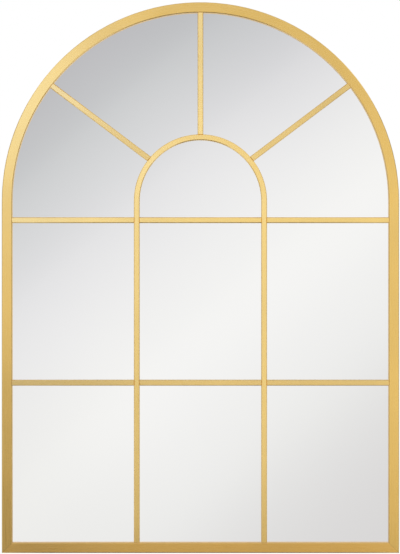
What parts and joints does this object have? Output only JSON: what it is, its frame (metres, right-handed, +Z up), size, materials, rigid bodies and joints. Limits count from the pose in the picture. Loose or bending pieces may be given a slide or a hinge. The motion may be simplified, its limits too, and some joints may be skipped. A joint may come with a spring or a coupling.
{
  "type": "wall mirror",
  "caption": "Arched window-pane wall mirror: flat gold metal frame with a round top, fan and grid bars over one mirror sheet, with D-ring hangers on the back.",
  "frame": {"origin": "on the wall plane, in the middle of the mirror's bottom edge", "axes": "+X to the right seen from the front, +Z up, +Y out of the back towards the wall, so the front faces -Y"},
  "size_m": [0.66, 0.025, 0.9149],
  "materials": {
    "gold_metal": "gold anodised, satin brushed",
    "silvered_glass": "clear silvered float glass",
    "fibreboard": "raw medium-density fibreboard",
    "foam": "closed-cell foam tape",
    "mounting_tape": "thin double-sided tape",
    "zinc_steel": "zinc plated",
    "spring_steel": "bare spring steel"
  },
  "bodies": {
    "mirror": {"frame_hoop": "gold_metal", "bottom_rail": "gold_metal", "inner_hoop": "gold_metal", "upper_bar_left": "gold_metal", "upper_bar_middle": "gold_metal", "upper_bar_right": "gold_metal", "lower_bar_left": "gold_metal", "lower_bar_middle": "gold_metal", "lower_bar_right": "gold_metal", "spoke_left": "gold_metal", "spoke_middle": "gold_metal", "spoke_right": "gold_metal", "corner_key_left": "zinc_steel", "corner_key_right": "zinc_steel", "corner_key_screws": "zinc_steel", "hanger_strap_left": "zinc_steel", "hanger_strap_right": "zinc_steel", "hanger_screws": "zinc_steel", "pressure_springs": "spring_steel", "mirror_glass": "silvered_glass", "backing_board": "fibreboard", "foam_tape": "foam", "bar_tape": "mounting_tape"},
    "ring_left": {"hanger_ring_left": "zinc_steel"},
    "ring_right": {"hanger_ring_right": "zinc_steel"}
  },
  "joints": [
    {"name": "ring_left_swing", "type": "hinge", "parent": "mirror", "child": "ring_left", "pos_m": [-0.2032, -0.0047, 0.63], "axis": [-1, 0, 0], "range_deg": [0, 178]},
    {"name": "ring_right_swing", "type": "hinge", "parent": "mirror", "child": "ring_right", "pos_m": [0.2032, -0.0047, 0.63], "axis": [-1, 0, 0], "range_deg": [0, 178]}
  ]
}
